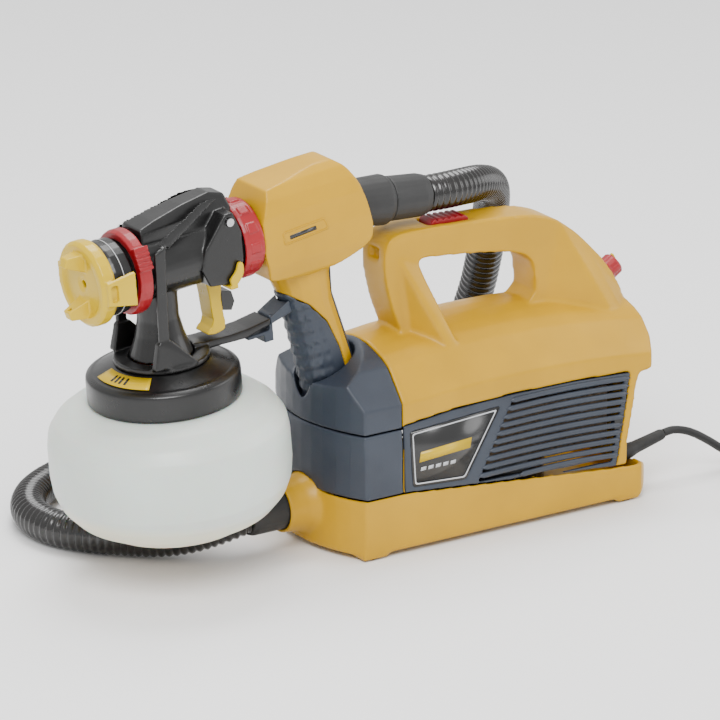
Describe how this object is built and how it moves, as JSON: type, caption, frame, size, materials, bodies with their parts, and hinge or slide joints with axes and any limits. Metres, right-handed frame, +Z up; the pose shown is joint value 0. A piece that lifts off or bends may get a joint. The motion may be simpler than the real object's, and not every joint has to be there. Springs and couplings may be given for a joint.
{
  "type": "turbine paint sprayer",
  "caption": "Floor-standing turbine paint sprayer with a carry handle, vented side panels, a docked spray gun with a paint cup, a corrugated air hose and a mains lead.",
  "frame": {"origin": "on the floor, under the middle of the sprayer's bounding box without its hose and lead", "axes": "+X from the spray nozzle towards the rear of the unit, +Y to the far side, where the hose loops, +Z up"},
  "size_m": [0.6158, 0.347, 0.2892],
  "materials": {
    "yellow_plastic": "moulded satin, warm yellow",
    "lemon_plastic": "moulded gloss, bright yellow",
    "slate_plastic": "fine texture, slate grey",
    "black_plastic": "satin black",
    "cuff_plastic": "soft matt black",
    "hose_plastic": "corrugated, glossy black",
    "red_plastic": "satin crimson",
    "milky_plastic": "translucent, milky white",
    "rubber": "matt black",
    "steel": "bright",
    "cast_metal": "die cast",
    "motor_metal": "laminations and windings",
    "foam": "open-cell foam, brown grey",
    "circuit_board": "green board"
  },
  "bodies": {
    "unit": {"base_tub": "yellow_plastic", "rubber_foot_1": "rubber", "rubber_foot_2": "rubber", "rubber_foot_3": "rubber", "rubber_foot_4": "rubber", "holder_front": "slate_plastic", "holder_top": "slate_plastic", "upper_housing": "yellow_plastic", "carry_handle": "yellow_plastic", "turbine_casing": "black_plastic", "motor": "motor_metal", "outlet_duct": "black_plastic", "circuit_board": "circuit_board", "air_hose": "hose_plastic", "cord_gland": "rubber", "mains_lead": "rubber", "mains_coil": "rubber", "plug": "rubber", "plug_blade_live": "steel", "plug_blade_neutral": "steel"},
    "gun": {"gun_rear_shell": "yellow_plastic", "grip_front_insert": "slate_plastic", "grip_rear_insert": "slate_plastic", "hose_stub": "black_plastic", "front_body": "black_plastic", "hinge_pin": "steel", "trigger_guard": "black_plastic", "hook_arm": "slate_plastic", "trigger_pin": "steel", "needle_spring": "steel", "fluid_nozzle": "black_plastic", "nozzle_ring": "black_plastic", "lid": "black_plastic", "lid_label": "lemon_plastic", "lid_gasket": "rubber"},
    "trigger": {"trigger": "lemon_plastic", "air_valve_tab": "black_plastic"},
    "needle": {"needle": "steel"},
    "air_cap": {"air_cap": "lemon_plastic"},
    "width_ring": {"width_ring": "red_plastic"},
    "locking_ring": {"locking_ring": "red_plastic"},
    "cup": {"paint_cup": "milky_plastic"},
    "suction_tube": {"suction_tube": "milky_plastic"},
    "swivel": {"hose_swivel": "cuff_plastic", "hose_gun_cuff": "cuff_plastic"},
    "base_cuff": {"hose_base_cuff": "cuff_plastic"},
    "switch": {"power_switch": "red_plastic"},
    "dial": {"power_dial": "red_plastic", "dial_pointer": "lemon_plastic"},
    "rotor": {"impeller": "cast_metal", "motor_shaft": "steel"},
    "near_panel": {"vent_panel_near": "slate_plastic", "label_plate_near": "black_plastic", "panel_catch_near": "black_plastic", "air_filter_near": "foam"},
    "far_panel": {"vent_panel_far": "slate_plastic", "label_plate_far": "black_plastic", "panel_catch_far": "black_plastic", "air_filter_far": "foam"}
  },
  "joints": [
    {"name": "gun_lift", "type": "slide", "parent": "unit", "child": "gun", "axis": [-0.2723, 0, 0.9622], "range_m": [0, 0.09], "deforming": ["air_hose"]},
    {"name": "trigger_pull", "type": "hinge", "parent": "gun", "child": "trigger", "pos_m": [-0.1168, 0, 0.2254], "axis": [0, -1, 0], "range_deg": [0, 14], "stiffness_Nm_per_rad": 0.6, "springref_deg": -11.46},
    {"name": "needle_slide", "type": "slide", "parent": "gun", "child": "needle", "axis": [0.9961, 0, 0.0877], "range_m": [0, 0.0035], "deforming": ["needle_spring"]},
    {"name": "air_cap_turn", "type": "hinge", "parent": "gun", "child": "air_cap", "pos_m": [-0.2167, 0, 0.2307], "axis": [0.9961, 0, 0.0877], "range_deg": [-90, 0]},
    {"name": "width_ring_turn", "type": "hinge", "parent": "gun", "child": "width_ring", "pos_m": [-0.1878, 0, 0.2332], "axis": [0.9961, 0, 0.0877], "range_deg": [-30, 10]},
    {"name": "locking_ring_turn", "type": "hinge", "parent": "gun", "child": "locking_ring", "pos_m": [-0.0951, 0, 0.2414], "axis": [0.9961, 0, 0.0877], "range_deg": [0, 45]},
    {"name": "cup_turn", "type": "hinge", "parent": "gun", "child": "cup", "pos_m": [-0.1516, 0, 0.0958], "axis": [-0.0877, 0, 0.9961], "range_deg": [0, 90]},
    {"name": "suction_tube_turn", "type": "hinge", "parent": "gun", "child": "suction_tube", "pos_m": [-0.156, 0, 0.1457], "axis": [-0.0877, 0, 0.9961], "range_deg": [-180, 180]},
    {"name": "swivel_turn", "type": "hinge", "parent": "gun", "child": "swivel", "pos_m": [-0.0032, 0, 0.2493], "axis": [0.9976, 0, -0.0698], "range_deg": [-90, 90]},
    {"name": "base_cuff_turn", "type": "hinge", "parent": "unit", "child": "base_cuff", "pos_m": [-0.0612, 0, 0.0315], "axis": [1, 0, 0], "range_deg": [0, 45]},
    {"name": "power_switch_slide", "type": "slide", "parent": "unit", "child": "switch", "axis": [1, 0, 0], "range_m": [0, 0.004]},
    {"name": "power_dial_turn", "type": "hinge", "parent": "unit", "child": "dial", "pos_m": [0.2233, 0, 0.1555], "axis": [0.848, 0, 0.53], "range_deg": [0, 270]},
    {"name": "impeller_spin", "type": "hinge", "parent": "unit", "child": "rotor", "pos_m": [0.1148, 0, 0.03], "axis": [0, 0, 1], "continuous": true},
    {"name": "near_panel_off", "type": "slide", "parent": "unit", "child": "near_panel", "axis": [0, -1, 0], "range_m": [0, 0.06]},
    {"name": "far_panel_off", "type": "slide", "parent": "unit", "child": "far_panel", "axis": [0, 1, 0], "range_m": [0, 0.04]}
  ],
  "couplings": [
    {"joint": "needle_slide", "follows": "trigger_pull", "m_per_rad": 0.0123}
  ]
}
